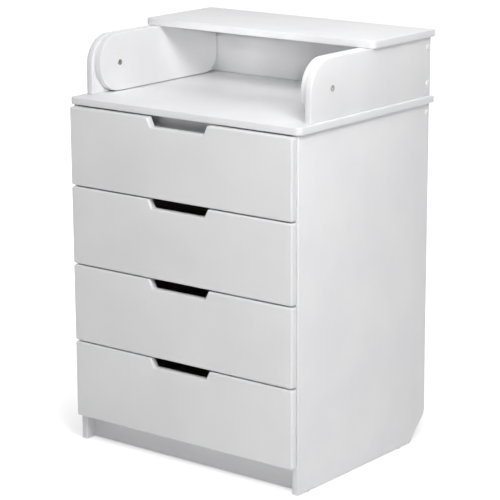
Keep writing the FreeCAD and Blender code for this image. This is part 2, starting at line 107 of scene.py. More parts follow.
def tone_ramp(tree, factor, first, second):
    """Colour between two stops, each a (position, hex code)."""
    ramp = add(tree, "ValToRGB", {"Fac": factor})
    for stop, (position, code) in zip(ramp.color_ramp.elements, (first, second)):
        stop.position = position
        stop.color = srgb(code)
    return ramp.outputs["Color"]


def two_tone(tree, coords, dark, light, size_mm):
    """Colour that wanders between two close tones in patches of a real size."""
    cloud = add(tree, "TexNoise", {"Vector": coords},
                {"Scale": per_metre(size_mm), "Detail": 2.0})
    return tone_ramp(tree, cloud.outputs["Fac"], (0.35, dark), (0.65, light))


def roughness_between(tree, coords, low, high, size_mm):
    """Roughness that wanders between two values in patches of a real size."""
    patches = add(tree, "TexNoise", {"Vector": coords},
                  {"Scale": per_metre(size_mm), "Detail": 3.0})
    spread = add(tree, "MapRange", {"Value": patches.outputs["Fac"]},
                 {"From Min": 0.3, "From Max": 0.7, "To Min": low, "To Max": high})
    return spread.outputs["Result"]


def grain_bump(tree, height, depth_mm, strength, below=None):
    """Bump of a real depth, over an earlier bump if there is one."""
    links = {"Height": height}
    if below is not None:
        links["Normal"] = below
    return add(tree, "Bump", links,
               {"Distance": depth_mm * MM, "Strength": strength}).outputs["Normal"]


# ---------------------------------------------------------------- materials
def melamine_board():
    """Melamine-faced chipboard, pressed with a pearl texture: it breaks the gloss finely.

    The real pearls are 0.4 mm; they are drawn 1.6 mm across so that they show.
    """
    material, tree, surface, coords = new_material("melamine_board_pearl_white")
    colour = two_tone(tree, coords, "EEEEF0", "F2F2F3", size_mm=140)
    pearl = add(tree, "TexNoise", {"Vector": coords},
                {"Scale": per_metre(1.6), "Detail": 3.0, "Roughness": 0.6})
    sweep = add(tree, "TexNoise", {"Vector": coords}, {"Scale": per_metre(60), "Detail": 1.0})
    waviness = grain_bump(tree, sweep.outputs["Fac"], depth_mm=0.12, strength=0.5)
    normal = grain_bump(tree, pearl.outputs["Fac"], depth_mm=0.05, strength=0.45, below=waviness)
    roughness = roughness_between(tree, coords, 0.42, 0.52, size_mm=25)
    feed(tree, surface, colour, roughness, normal)
    surface.inputs["IOR"].default_value = PLASTIC_IOR
    return material


def foil_front():
    """Fibreboard wrapped in a PVC foil: smoother than melamine, with a slow orange peel."""
    material, tree, surface, coords = new_material("foil_wrapped_fibreboard_satin")
    colour = two_tone(tree, coords, "ECECED", "F0F0F1", size_mm=180)
    peel = add(tree, "TexNoise", {"Vector": coords},
               {"Scale": per_metre(4), "Detail": 2.0, "Roughness": 0.5})
    sweep = add(tree, "TexNoise", {"Vector": coords}, {"Scale": per_metre(90), "Detail": 1.0})
    waviness = grain_bump(tree, sweep.outputs["Fac"], depth_mm=0.2, strength=0.5)
    normal = grain_bump(tree, peel.outputs["Fac"], depth_mm=0.04, strength=0.4, below=waviness)
    roughness = roughness_between(tree, coords, 0.34, 0.43, size_mm=40)
    feed(tree, surface, colour, roughness, normal)
    surface.inputs["IOR"].default_value = PLASTIC_IOR
    return material


def hardboard():
    """Thin hardboard: lacquered white on the side that is seen, raw brown fibres behind.

    The raw side faces backwards on the cabinet and downwards in the drawers.
    """
    material, tree, surface, coords = new_material("hardboard_white_lacquer_raw_back")
    facing = add(tree, "SeparateXYZ", {"Vector": add(tree, "NewGeometry").outputs["Normal"]})
    backwards = add(tree, "Math", {0: facing.outputs["Y"]}, {1: 0.5}, operation="GREATER_THAN")
    downwards = add(tree, "Math", {0: facing.outputs["Z"]}, {1: -0.5}, operation="LESS_THAN")
    raw = add(tree, "Math", {0: backwards.outputs[0], 1: downwards.outputs[0]},
              operation="MAXIMUM")
    fibres = add(tree, "TexNoise", {"Vector": coords},
                 {"Scale": per_metre(3), "Detail": 6.0, "Roughness": 0.7})
    brown = tone_ramp(tree, fibres.outputs["Fac"], (0.3, "8A6646"), (0.7, "AB8661"))
    white = two_tone(tree, coords, "E4E3E1", "EBEAE8", size_mm=90)
    colour = add(tree, "Mix", {"Factor": raw.outputs[0], 6: white, 7: brown},
                 data_type="RGBA")
    rough = add(tree, "MapRange", {"Value": raw.outputs[0]}, {"To Min": 0.38, "To Max": 0.75})
    feed(tree, surface, colour.outputs[2], rough.outputs["Result"],
         grain_bump(tree, fibres.outputs["Fac"], depth_mm=0.08, strength=0.6))
    return material


def moulded_plastic(name, dark, light, low, high):
    """Injection-moulded plastic: an even skin with faint flow marks."""
    material, tree, surface, coords = new_material(name)
    skin = add(tree, "TexNoise", {"Vector": coords}, {"Scale": per_metre(0.8), "Detail": 2.0})
    feed(tree, surface, two_tone(tree, coords, dark, light, size_mm=6),
         roughness_between(tree, coords, low, high, size_mm=3),
         grain_bump(tree, skin.outputs["Fac"], depth_mm=0.02, strength=0.4))
    surface.inputs["IOR"].default_value = PLASTIC_IOR
    return material


def coated_steel():
    """Rolled steel with a baked epoxy coat: thick, slightly pebbled, rubbed along the track."""
    material, tree, surface, coords = new_material("epoxy_coated_steel_cream_white")
    pebbles = add(tree, "TexNoise", {"Vector": coords}, {"Scale": per_metre(1.5), "Detail": 2.0})
    along = add(tree, "Mapping", {"Vector": coords}, {"Scale": (1.0, 0.03, 1.0)})
    rubbed = add(tree, "TexNoise", {"Vector": along.outputs["Vector"]},
                 {"Scale": per_metre(2), "Detail": 4.0})
    colour = tone_ramp(tree, rubbed.outputs["Fac"], (0.3, "DEDCD6"), (0.55, "E9E8E3"))
    feed(tree, surface, colour, roughness_between(tree, coords, 0.3, 0.45, size_mm=8),
         grain_bump(tree, pebbles.outputs["Fac"], depth_mm=0.03, strength=0.4))
    return material


def plated_metal(name, dark, light, low, high):
    """Plated steel, turned or pressed: fine scratches break up the reflections."""
    material, tree, surface, coords = new_material(name)
    scratches = add(tree, "TexNoise", {"Vector": coords},
                    {"Scale": per_metre(0.7), "Detail": 4.0, "Roughness": 0.7})
    feed(tree, surface, two_tone(tree, coords, dark, light, size_mm=2.5),
         roughness_between(tree, coords, low, high, size_mm=1.2),
         grain_bump(tree, scratches.outputs["Fac"], depth_mm=0.01, strength=0.5))
    surface.inputs["Metallic"].default_value = 1.0
    return material


MELAMINE = melamine_board()
FOIL = foil_front()
HARDBOARD = hardboard()
NYLON = moulded_plastic("moulded_nylon_natural", "DAD8CF", "E3E1D9", 0.35, 0.5)
POLYETHYLENE = moulded_plastic("moulded_polyethylene_white", "F1F1F1", "F6F6F6", 0.32, 0.42)
COATED_STEEL = coated_steel()
ZINC = plated_metal("zinc_plated_steel", "A3A39E", "BDBDB9", 0.3, 0.5)
NICKEL = plated_metal("nickel_plated_steel", "8F8C88", "B0ADA8", 0.22, 0.38)


# ---------------------------------------------------------------- modelling helpers
def deselect_all():
    """Leave nothing selected: loading the frame selects its nodes."""
    if bpy.context.mode != "OBJECT":
        bpy.ops.object.mode_set(mode="OBJECT")
    bpy.ops.object.select_all(action="DESELECT")


def begin_cube(name, low, high):
    """A cube primitive between two corners, its place in its mesh."""
    deselect_all()
    low = Vector(low)
    high = Vector(high)
    bpy.ops.mesh.primitive_cube_add(size=1, location=(low + high) / 2, scale=high - low)
    bpy.ops.object.transform_apply(location=True, rotation=True, scale=True)
    return named(name)


def begin_disc(name, centre, along, radius, depth, sides):
    """A cylinder primitive that starts at a point and runs along a direction."""
    deselect_all()
    turn = AXIS_Z.rotation_difference(along).to_euler()
    bpy.ops.mesh.primitive_cylinder_add(vertices=sides, radius=radius, depth=depth,
                                        location=centre + along * (depth / 2), rotation=turn)
    bpy.ops.object.transform_apply(location=True, rotation=True, scale=True)
    return named(name)


def named(name):
    """The object just made, under its own name."""
    piece = bpy.context.object
    piece.name = name
    piece.data.name = name
    return piece


def clear_selection(mesh):
    """Nothing of a mesh selected."""
    for group in (mesh.vertices, mesh.edges, mesh.polygons):
        group.foreach_set("select", [False] * len(group))


def in_edit_mode(piece, elements):
    """Select only these edges or faces of the piece, and open it for editing."""
    mesh = piece.data
    bpy.context.view_layer.objects.active = piece
    clear_selection(mesh)
    faces = bool(elements) and isinstance(elements[0], bpy.types.MeshPolygon)
    for element in elements:
        element.select = True
        for index in element.vertices:
            mesh.vertices[index].select = True
    bpy.context.tool_settings.mesh_select_mode = (False, not faces, faces)
    bpy.ops.object.mode_set(mode="EDIT")


def leave_edit_mode():
    """Back to object mode, which writes the edits into the mesh."""
    bpy.ops.object.mode_set(mode="OBJECT")


def edges_where(piece, test):
    """The edges whose two ends pass a test."""
    points = piece.data.vertices
    return [edge for edge in piece.data.edges
            if test(points[edge.vertices[0]].co, points[edge.vertices[1]].co)]


def round_edges(piece, edges, radius, segments):
    """Round some edges of the piece, or cut them off straight with one segment."""
    in_edit_mode(piece, edges)
    bpy.ops.mesh.bevel(offset=radius, segments=segments, profile=0.5, affect="EDGES",
                       clamp_overlap=False)
    bpy.ops.mesh.select_all(action="SELECT")
    bpy.ops.mesh.remove_doubles(threshold=WELD)
    leave_edit_mode()


def corner_edges(piece, axis, places):
    """Edges parallel to an axis that stand at one of some places, each (axis, value)s."""
    def at_place(a, b):
        along = abs((b - a).normalized()[axis]) > PARALLEL
        return along and any(all(abs(a[i] - value) < NEAR for i, value in place)
                             for place in places)
    return edges_where(piece, at_place)


def soften(piece, radius, segments=3):
    """Round every sharp edge a little unless the radius is 0, and shade the curves smooth."""
    deselect_all()
    piece.select_set(True)
    bpy.context.view_layer.objects.active = piece
    if radius > 0:
        bevel = piece.modifiers.new("edge_rounding", "BEVEL")
        bevel.width = radius
        bevel.segments = segments
        bevel.limit_method = "ANGLE"
        bevel.angle_limit = SHARP_ANGLE
        bpy.ops.object.modifier_apply(modifier=bevel.name)
    bpy.ops.object.shade_smooth_by_angle(angle=SMOOTH_ANGLE)
    return piece


def join(name, pieces):
    """Several meshes as one piece."""
    deselect_all()
    for piece in pieces:
        piece.select_set(True)
    bpy.context.view_layer.objects.active = pieces[0]
    if len(pieces) > 1:
        bpy.ops.object.join()
    return named(name)


def copy_at(pattern, matrix, name):
    """A copy of a finished pattern with its own mesh, moved within its mesh."""
    copy = pattern.copy()
    copy.data = pattern.data.copy()
    copy.data.transform(matrix)
    copy.name = name
    bpy.context.scene.collection.objects.link(copy)
    return copy


def cut_out(piece, cutter):
    """Take a cutter's shape out of a piece."""
    bpy.context.view_layer.objects.active = piece
    sink = piece.modifiers.new("sink", "BOOLEAN")
    sink.operation = "DIFFERENCE"
    sink.solver = "EXACT"
    sink.object = cutter
    bpy.ops.object.modifier_apply(modifier=sink.name)
    remove(cutter)
    return piece


def remove(piece):
    """Take a pattern or a cutter out of the file once it has served."""
    bpy.data.objects.remove(piece, do_unlink=True)


def dress(piece, material, body, slot, *nodes):
    """Give a finished piece its material and its body, and hide the nodes it stands for; the slot
    is not used.
    """
    piece.data.materials.clear()
    piece.data.materials.append(material)
    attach(piece, body)
    if nodes:
        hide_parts(*nodes)


# ---------------------------------------------------------------- sizes
worktop_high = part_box("worktop")[1]
side_low, side_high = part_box("side_panel_right")
cheek_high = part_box("outer_cheek_right")[1]
inner_low, inner_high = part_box("inner_cheek_right")
lid_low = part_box("lid_board")[0]

BANDING_ROUNDING = 2 * MM             # edge banding of the visible boards
INNER_ROUNDING = 0.6 * MM
CORNER_RADIUS = 13 * MM               # worktop and lid, seen from above
REAR_CORNER_RADIUS = 3 * MM
SKIRTING_NOTCH = 55 * MM
SHOULDER_RADIUS = 67 * MM
HEEL_RADIUS = 44 * MM
FRONT_EDGE_RADIUS = 4 * MM
FRONT_CORNER_RADIUS = 5 * MM
GRIP_TOP_WIDTH = 166 * MM
GRIP_BOTTOM_WIDTH = 146 * MM
GRIP_DEPTH = 20 * MM
GRIP_CORNER_CUT = 2.5 * MM            # how far the grip's corners are rounded along its edges

CAP_RADIUS = 6.25 * MM
CAP_HEIGHT = 1.6 * MM
CAP_ROUNDING = 1.1 * MM
CAP_RISES = (28 * MM, 108 * MM)       # cheek caps over the worktop
SIDE_CAP_DROP = 21 * MM               # side cap under the worktop
CAM_RADIUS = 7.4 * MM
CAM_HEIGHT = 0.8 * MM
CAM_SUNK = 0.6 * MM                   # part of a cam's height that sits in its bore
CAM_CROSS = (9 * MM, 2.2 * MM)        # arms of the cross for the screwdriver
CAM_CROSS_FLOOR = -0.4 * MM
CUTTER_TOP = 1 * MM                   # cutters end this far over a surface
CAM_INSET = 34 * MM                   # from a board's end to the middle of its cam
SIDE_CAMS_IN = 50 * MM                # side panel's cams, from its front and rear edges
CHEEK_CAM_BEHIND_PIVOT = 63.2 * MM
CHEEK_CAM_BEFORE_REAR = 85 * MM
FLOOR_CAM_BEHIND_FRONT = 90 * MM
FLOOR_CAM_BEFORE_REAR = 100 * MM
PLINTH_CAM_RISE = 36 * MM
LID_CAM_BEHIND_FRONT = 36.5 * MM
LID_CAM_BEFORE_REAR = 31.8 * MM
DRAWER_CAM_RISE = 84 * MM
DRAWER_SCREW_RISES = (42 * MM, 92 * MM)
DRAWER_SCREW_IN = 8 * MM              # from the rear end of a drawer's side
SCREW_HEAD_RADIUS = 4.9 * MM
SCREW_HEAD_HEIGHT = 1.15 * MM
SCREW_HEAD_SUNK = 1 * MM
SCREW_SOCKET_RADIUS = 2.3 * MM
SCREW_SOCKET_FLOOR = -0.8 * MM
NAIL_HEAD_RADIUS = 2.2 * MM
NAIL_HEAD_HEIGHT = 0.5 * MM
NAIL_INSET = 8 * MM
NAILS_ACROSS = 5                      # spaces between nails along each edge of the back
NAILS_UP = 6
GLIDE_RADIUS = 7.5 * MM
GLIDE_ROUNDING = 1.2 * MM
ROLLER_WIDTH = 6 * MM
ROLLER_BORE = 2.8 * MM
ROLLER_ROUNDING = 0.7 * MM
BOLT_HEAD_RADIUS = 6.5 * MM
BOLT_HEAD_HEIGHT = 1.6 * MM
BOLT_HEAD_ROUNDING = 0.8 * MM
BOLT_SCREW_GAP = 0.1 * MM             # between the inner cheek and the screw's head
SOCKET_ACROSS_FLATS = 5 * MM
SOCKET_PASSES_FACE = 0.4 * MM         # its cutter starts this far behind the cheek's face
SLOT_HALF = Vector((0.9, 8, 0.7)) * MM  # half the size of the slot's cutter
METAL_EDGE = 0.1 * MM                 # broken edges of small metal parts
WASHER_RADIUS = 10 * MM
WASHER_BORE = 4.2 * MM
WASHER_THICKNESS = 1.4 * MM

pivot = next(j for j in frame["joints"] if j["name"] == "changing_top_turn")["pos_m"]
PIVOT_Y = pivot[1]
PIVOT_Z = pivot[2]


# ---------------------------------------------------------------- boards
def plain_board(node, body, rounding=INNER_ROUNDING):
    """A square board with slightly rounded edges, in the place of its node."""
    low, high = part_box(node)
    piece = begin_cube(node + "_board", low, high)
    dress(soften(piece, rounding, segments=2), MELAMINE, body, "white_board", node)


def top_board(node, body):
    """Worktop or lid: round corners seen from above, round edge banding."""
    low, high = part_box(node)
    piece = begin_cube(node + "_laminated", low, high)
    front = [((0, x), (1, low.y)) for x in (low.x, high.x)]
    rear = [((0, x), (1, high.y)) for x in (low.x, high.x)]
    round_edges(piece, corner_edges(piece, 2, front), CORNER_RADIUS, segments=10)
    round_edges(piece, corner_edges(piece, 2, rear), REAR_CORNER_RADIUS, segments=4)
    dress(soften(piece, BANDING_ROUNDING), MELAMINE, body, "white_board", node)


def side_panel(side):
    """Side panel, cut back at its foot for the skirting."""
    node = "side_panel_" + side
    low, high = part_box(node)
    piece = begin_cube(node + "_laminated", low, high)
    round_edges(piece, corner_edges(piece, 0, [((1, high.y), (2, low.z))]),
                SKIRTING_NOTCH, segments=1)
    dress(soften(piece, BANDING_ROUNDING), MELAMINE, "cabinet", "white_board", node)


def outer_cheek(side):
    """Fixed cheek with its big round shoulder."""
    node = "outer_cheek_" + side
    low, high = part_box(node)
    piece = begin_cube(node + "_laminated", low, high)
    round_edges(piece, corner_edges(piece, 0, [((1, low.y), (2, high.z))]),
                SHOULDER_RADIUS, segments=28)
    dress(soften(piece, BANDING_ROUNDING), MELAMINE, "cabinet", "white_board", node)


def inner_cheek(side):
    """Turning cheek: a round nose about the pivot and a rounded heel."""
    node = "inner_cheek_" + side
    low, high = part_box(node)
    piece = begin_cube(node + "_laminated", low, high)
    round_edges(piece, corner_edges(piece, 0, [((1, high.y), (2, low.z))]),
                HEEL_RADIUS, segments=20)
    round_edges(piece, corner_edges(piece, 0, [((1, low.y), (2, high.z))]),
                high.z - PIVOT_Z, segments=28)
    round_edges(piece, corner_edges(piece, 0, [((1, low.y), (2, low.z))]),
                PIVOT_Z - low.z, segments=28)
    dress(soften(piece, BANDING_ROUNDING), MELAMINE, "changing_top", "white_board", node)


def drawer_front(number):
    """Front with a trapezoid finger grip and a rounded face outline."""
    node = "drawer_%d_front" % number
    low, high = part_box(node)
    ledge = high.z - GRIP_DEPTH
    deselect_all()
    bpy.ops.mesh.primitive_plane_add(size=1, rotation=(math.radians(90), 0, 0),
                                     location=(0, high.y, (low.z + high.z) / 2))
    bpy.context.object.scale = (high.x - low.x, high.z - low.z, 1)
    bpy.ops.object.transform_apply(location=True, rotation=True, scale=True)
    piece = named(node + "_foil_wrapped")
    in_edit_mode(piece, list(piece.data.polygons))
    bpy.ops.mesh.bisect(plane_co=(0, high.y, ledge), plane_no=AXIS_Z)
    leave_edit_mode()
    for sign in MIRROR:
        foot = Vector((sign * GRIP_BOTTOM_WIDTH / 2, high.y, ledge))
        rim = Vector((sign * GRIP_TOP_WIDTH / 2, high.y, high.z))
        upper = [face for face in piece.data.polygons if face.center.z > ledge]
        in_edit_mode(piece, upper)
        bpy.ops.mesh.bisect(plane_co=foot, plane_no=AXIS_Y.cross(rim - foot).normalized())
        leave_edit_mode()
    gap = [face for face in piece.data.polygons
           if face.center.z > ledge and abs(face.center.x) < GRIP_BOTTOM_WIDTH / 4]
    in_edit_mode(piece, gap)
    bpy.ops.mesh.delete(type="FACE")
    bpy.ops.mesh.select_all(action="SELECT")
    bpy.ops.mesh.dissolve_limited(angle_limit=math.radians(1))
    leave_edit_mode()
    round_outline_corners(piece, high.x, FRONT_CORNER_RADIUS, segments=6)
    round_outline_corners(piece, GRIP_TOP_WIDTH / 2, GRIP_CORNER_CUT, segments=5)
    round_outline_corners(piece, GRIP_BOTTOM_WIDTH / 2, GRIP_CORNER_CUT, segments=5)
    in_edit_mode(piece, list(piece.data.polygons))
    bpy.ops.mesh.extrude_region_move(TRANSFORM_OT_translate={"value": (0, low.y - high.y, 0)})
    bpy.ops.mesh.select_all(action="SELECT")
    bpy.ops.mesh.normals_make_consistent(inside=False)
    leave_edit_mode()
    face_outline = edges_where(piece, lambda a, b: max(a.y, b.y) < low.y + NEAR)
    round_edges(piece, face_outline, FRONT_EDGE_RADIUS, segments=6)
    dress(soften(piece, INNER_ROUNDING, segments=2), FOIL, "drawer_%d" % number,
          "drawer_front", node)


def round_outline_corners(piece, reach, radius, segments):
    """Round the corners of a flat outline that stand a given reach from the middle."""
    clear_selection(piece.data)
    for point in piece.data.vertices:
        point.select = abs(abs(point.co.x) - reach) < NEAR
    bpy.context.view_layer.objects.active = piece
    bpy.context.tool_settings.mesh_select_mode = (True, False, False)
    bpy.ops.object.mode_set(mode="EDIT")
    bpy.ops.mesh.bevel(offset=radius, segments=segments, profile=0.5, affect="VERTICES",
                       clamp_overlap=False)
    leave_edit_mode()


# ---------------------------------------------------------------- small hardware
def cap_pattern():
    """Push-in cover cap with a domed top."""
    piece = begin_disc("cap_pattern", Vector((0, 0, 0)), AXIS_Z, CAP_RADIUS, CAP_HEIGHT,
                       sides=40)
    rim = edges_where(piece, lambda a, b: min(a.z, b.z) > CAP_HEIGHT - NEAR)
    round_edges(piece, rim, CAP_ROUNDING, segments=5)
    return soften(piece, radius=0)


def cam_pattern():
    """Die-cast cam of a board fitting: a disc with a sunk cross for the screwdriver."""
    piece = begin_disc("cam_pattern", Vector((0, 0, -CAM_SUNK)), AXIS_Z, CAM_RADIUS,
                       CAM_HEIGHT, sides=36)
    for length, width in (CAM_CROSS, CAM_CROSS[::-1]):
        cut_out(piece, begin_cube("cutter", (-length / 2, -width / 2, CAM_CROSS_FLOOR),
                                  (length / 2, width / 2, CUTTER_TOP)))
    return soften(piece, METAL_EDGE, segments=1)


def screw_pattern():
    """Countersunk board screw, seen from outside: a dished head with a hexagon socket."""
    piece = begin_disc("screw_pattern", Vector((0, 0, -SCREW_HEAD_SUNK)), AXIS_Z,
                       SCREW_HEAD_RADIUS, SCREW_HEAD_HEIGHT, sides=30)
    cut_out(piece, begin_disc("cutter", Vector((0, 0, SCREW_SOCKET_FLOOR)), AXIS_Z,
                              SCREW_SOCKET_RADIUS, depth=2 * MM, sides=6))
    return soften(piece, radius=0.12 * MM, segments=2)


def nail_pattern():
    """Flat head of a small panel nail."""
    piece = begin_disc("nail_pattern", Vector((0, 0, 0)), AXIS_Z, NAIL_HEAD_RADIUS,
                       NAIL_HEAD_HEIGHT, sides=14)
    return soften(piece, radius=0.2 * MM, segments=2)


def placed(pattern, name, places):
    """Copies of a pattern at (point, direction)s, as one piece."""
    copies = []
    for point, direction in places:
        turn = AXIS_Z.rotation_difference(direction).to_matrix().to_4x4()
        copies.append(copy_at(pattern, Matrix.Translation(point) @ turn, name))
    return join(name, copies)


def mirrored_places(places):
    """Right-hand places and their left-hand twins."""
    twins = [(Vector((-p.x, p.y, p.z)), Vector((-d.x, d.y, d.z))) for p, d in places]
    return places + twins


def dress_caps():
    """Cover caps over the screws of the side panels and the cheeks."""
    pattern = cap_pattern()
    rail_low, rail_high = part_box("rear_rail")
    shelf_low, shelf_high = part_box("shelf_back_panel")
    caps = [(Vector((side_high.x, (rail_low.y + rail_high.y) / 2, side_high.z - SIDE_CAP_DROP)),
             AXIS_X)]
    for rise in CAP_RISES:
        caps.append((Vector((side_high.x, (shelf_low.y + shelf_high.y) / 2,
                             worktop_high.z + rise)), AXIS_X))
    dress(placed(pattern, "screw_caps_moulded", mirrored_places(caps)), POLYETHYLENE,
          "cabinet", "white_plastic", "screw_caps", "confirmat_screws")
    remove(pattern)


def dress_cams(pattern):
    """Cams of the cabinet's boards and of the lid."""
    cams = []
    for y in (side_low.y + SIDE_CAMS_IN, side_high.y - SIDE_CAMS_IN):
        cams.append((Vector((side_low.x, y, side_high.z - CAM_INSET)), -AXIS_X))
    for y in (PIVOT_Y + CHEEK_CAM_BEHIND_PIVOT, cheek_high.y - CHEEK_CAM_BEFORE_REAR):
        cams.append((Vector((side_low.x, y, worktop_high.z + CAM_INSET)), -AXIS_X))
    inset_x = side_low.x - CAM_INSET
    floor_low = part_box("bottom_panel")[0]
    for y in (side_low.y + FLOOR_CAM_BEHIND_FRONT, side_high.y - FLOOR_CAM_BEFORE_REAR):
        cams.append((Vector((inset_x, y, floor_low.z)), -AXIS_Z))
    rail_low, rail_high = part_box("front_rail")
    cams.append((Vector((inset_x, rail_high.y, (rail_low.z + rail_high.z) / 2)), AXIS_Y))
    plinth_low, plinth_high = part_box("plinth_board")
    cams.append((Vector((inset_x, plinth_high.y, plinth_low.z + PLINTH_CAM_RISE)), AXIS_Y))
    dress(placed(pattern, "cabinet_cams_cast", mirrored_places(cams)), ZINC, "cabinet",
          "zinc_fixings", "cabinet_connectors")
    lid_cams = [(Vector((inner_high.x, y, lid_low.z - CAM_INSET)), AXIS_X)
                for y in (lid_low.y + LID_CAM_BEHIND_FRONT, inner_high.y - LID_CAM_BEFORE_REAR)]
    dress(placed(pattern, "lid_cams_cast", mirrored_places(lid_cams)), ZINC, "changing_top",
          "zinc_fixings", "lid_connectors")


def dress_nails():
    """Nails along the four edges of the hardboard back."""
    pattern = nail_pattern()
    low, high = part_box("back_panel")
    nails = []
    for step in range(NAILS_ACROSS + 1):
        x = (high.x - NAIL_INSET) * (2 * step / NAILS_ACROSS - 1)
        for z in (low.z + NAIL_INSET, high.z - NAIL_INSET):
            nails.append((Vector((x, high.y, z)), AXIS_Y))
    for step in range(1, NAILS_UP):
        z = low.z + NAIL_INSET + (high.z - low.z - 2 * NAIL_INSET) * step / NAILS_UP
        for x in (low.x + NAIL_INSET, high.x - NAIL_INSET):
            nails.append((Vector((x, high.y, z)), AXIS_Y))
    dress(placed(pattern, "back_panel_nails", nails), ZINC, "cabinet", "zinc_fixings")
    remove(pattern)


def glides():
    """Nail-on glides under the side panels."""
    low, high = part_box("glides")
    middle_x = (side_low.x + side_high.x) / 2
    pieces = []
    for sign in MIRROR:
        for y in (low.y + GLIDE_RADIUS, high.y - GLIDE_RADIUS):
            pad = begin_disc("glide", Vector((sign * middle_x, y, 0)), AXIS_Z, GLIDE_RADIUS,
                             side_low.z, sides=32)
            foot = edges_where(pad, lambda a, b: max(a.z, b.z) < NEAR)
            round_edges(pad, foot, GLIDE_ROUNDING, segments=4)
            pieces.append(soften(pad, radius=0))
    dress(join("glides_moulded", pieces), POLYETHYLENE, "cabinet", "white_plastic", "glides")


def bored_disc(name, centre, along, radius, depth, bore, sides, rim):
    """A round piece with a hole through it and softened rims."""
    piece = begin_disc(name, centre, along, radius, depth, sides)
    ends = [face for face in piece.data.polygons if abs(face.normal.dot(along)) > PARALLEL]
    in_edit_mode(piece, ends)
    bpy.ops.mesh.inset(thickness=radius - bore, use_individual=True)
    bpy.ops.mesh.delete(type="FACE")
    leave_edit_mode()
    loops = edges_where(piece, lambda a, b: all(
        abs((p - centre).cross(along).length - bore) < NEAR for p in (a, b)))
    in_edit_mode(piece, loops)
    bpy.ops.mesh.bridge_edge_loops()
    bpy.ops.mesh.select_all(action="SELECT")
    bpy.ops.mesh.normals_make_consistent(inside=False)
    leave_edit_mode()
    return soften(piece, rim)


def rollers():
    """Nylon rollers on their pins, two to a body."""
    for number in DRAWERS:
        for node, body in (("cabinet_front_rollers_%d" % number, "front_rollers_%d" % number),
                           ("drawer_%d_tail_rollers" % number, "tail_rollers_%d" % number)):
            low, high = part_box(node)
            radius = (high.z - low.z) / 2
            pair = []
            for sign in MIRROR:
                start = Vector((sign * (high.x - ROLLER_WIDTH), (low.y + high.y) / 2,
                                (low.z + high.z) / 2))
                pair.append(bored_disc("roller", start, AXIS_X * sign, radius, ROLLER_WIDTH,
                                       ROLLER_BORE, sides=48, rim=ROLLER_ROUNDING))
            dress(join(node + "_moulded", pair), NYLON, body, "roller_nylon", node)


def bolt_head(face, direction):
    """A round bolt head that stands out from a point of a face, its rim rounded."""
    head = begin_disc("head", face, direction, BOLT_HEAD_RADIUS, BOLT_HEAD_HEIGHT, sides=40)
    rim = edges_where(head, lambda a, b: min(
        (p - face).dot(direction) for p in (a, b)) > BOLT_HEAD_HEIGHT - NEAR)
    round_edges(head, rim, BOLT_HEAD_ROUNDING, segments=4)
    return head


def pivots():
    """Pivot hardware: socket-headed sleeve outside, slotted screw inside, washer between."""
    heads = []
    screws = []
    washers = []
    for sign in MIRROR:
        out = AXIS_X * sign
        face = Vector((sign * side_high.x, PIVOT_Y, PIVOT_Z))
        head = bolt_head(face, out)
        socket = begin_disc("cutter", face - out * SOCKET_PASSES_FACE, out,
                            SOCKET_ACROSS_FLATS / math.sqrt(3), depth=4 * MM, sides=6)
        heads.append(soften(cut_out(head, socket), METAL_EDGE, segments=1))
        inner_face = Vector((sign * (inner_low.x - BOLT_SCREW_GAP), PIVOT_Y, PIVOT_Z))
        head = bolt_head(inner_face, -out)
        middle = inner_face - out * BOLT_HEAD_HEIGHT
        slot = begin_cube("cutter", middle - SLOT_HALF, middle + SLOT_HALF)
        screws.append(soften(cut_out(head, slot), METAL_EDGE, segments=1))
        washers.append(bored_disc("washer", Vector((sign * inner_high.x, PIVOT_Y, PIVOT_Z)), out,
                                  WASHER_RADIUS, WASHER_THICKNESS, WASHER_BORE, sides=40,
                                  rim=0.2 * MM))
    dress(join("pivot_sleeve_heads", heads), NICKEL, "cabinet", "pivot_steel", "pivot_sleeves")
    dress(join("pivot_screw_heads", screws), ZINC, "cabinet", "pivot_steel", "pivot_screws")
    dress(join("pivot_washers_moulded", washers), NYLON, "cabinet", "white_plastic",
          "pivot_washers")


def drawer_hardware(cam):
    """Cams and board screws on the outer faces of the drawer boxes."""
    screw = screw_pattern()
    for number in DRAWERS:
        low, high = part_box("drawer_%d_side_right" % number)
        cams = [(Vector((high.x, low.y + CAM_INSET, low.z + DRAWER_CAM_RISE)), AXIS_X)]
        screws = [(Vector((high.x, high.y - DRAWER_SCREW_IN, low.z + rise)), AXIS_X)
                  for rise in DRAWER_SCREW_RISES]
        pieces = [placed(cam, "cams", mirrored_places(cams)),
                  placed(screw, "screws", mirrored_places(screws))]
        dress(join("drawer_%d_fixings_detailed" % number, pieces), ZINC,
              "drawer_%d" % number, "zinc_fixings", "drawer_%d_fixings" % number)
    remove(screw)


def dress_kept_nodes():
    """CAD nodes whose shape is right keep it and get a finish."""
    for name, piece in frame["nodes"].items():
        if piece.hide_render:
            continue
        material = MELAMINE
        if name == "back_panel" or name.endswith("_bottom"):
            material = HARDBOARD
        elif name.endswith("runners"):
            material = COATED_STEEL
        piece.data.materials.clear()
        piece.data.materials.append(material)


# ---------------------------------------------------------------- stage, light, camera
FLOOR_SIZE = 80
FLOOR_LIFT = 0.45                     # light the floor adds near the dresser; 1 farther out
LIFT_LOW_WITHIN = 0.35                # metres from the dresser's middle
LIFT_FULL_FROM = 1.0
WORLD_FILL = 0.2
SPOT_DISTANCE = 3
SPOT_POOL_RADIUS = 0.1                # what a spot lights at its distance
SPOT_SOURCE_RADIUS = 0.03
CAMERA_SENSOR = 36
CAMERA_LENS = 149.6
CAMERA_CLIP_END = 200
CAMERA_YAW = 38.178
CAMERA_PITCH = 14.122
CAMERA_ROLL = -0.272
CAMERA_PLACE = (2.7986, -3.5619, 1.5866)


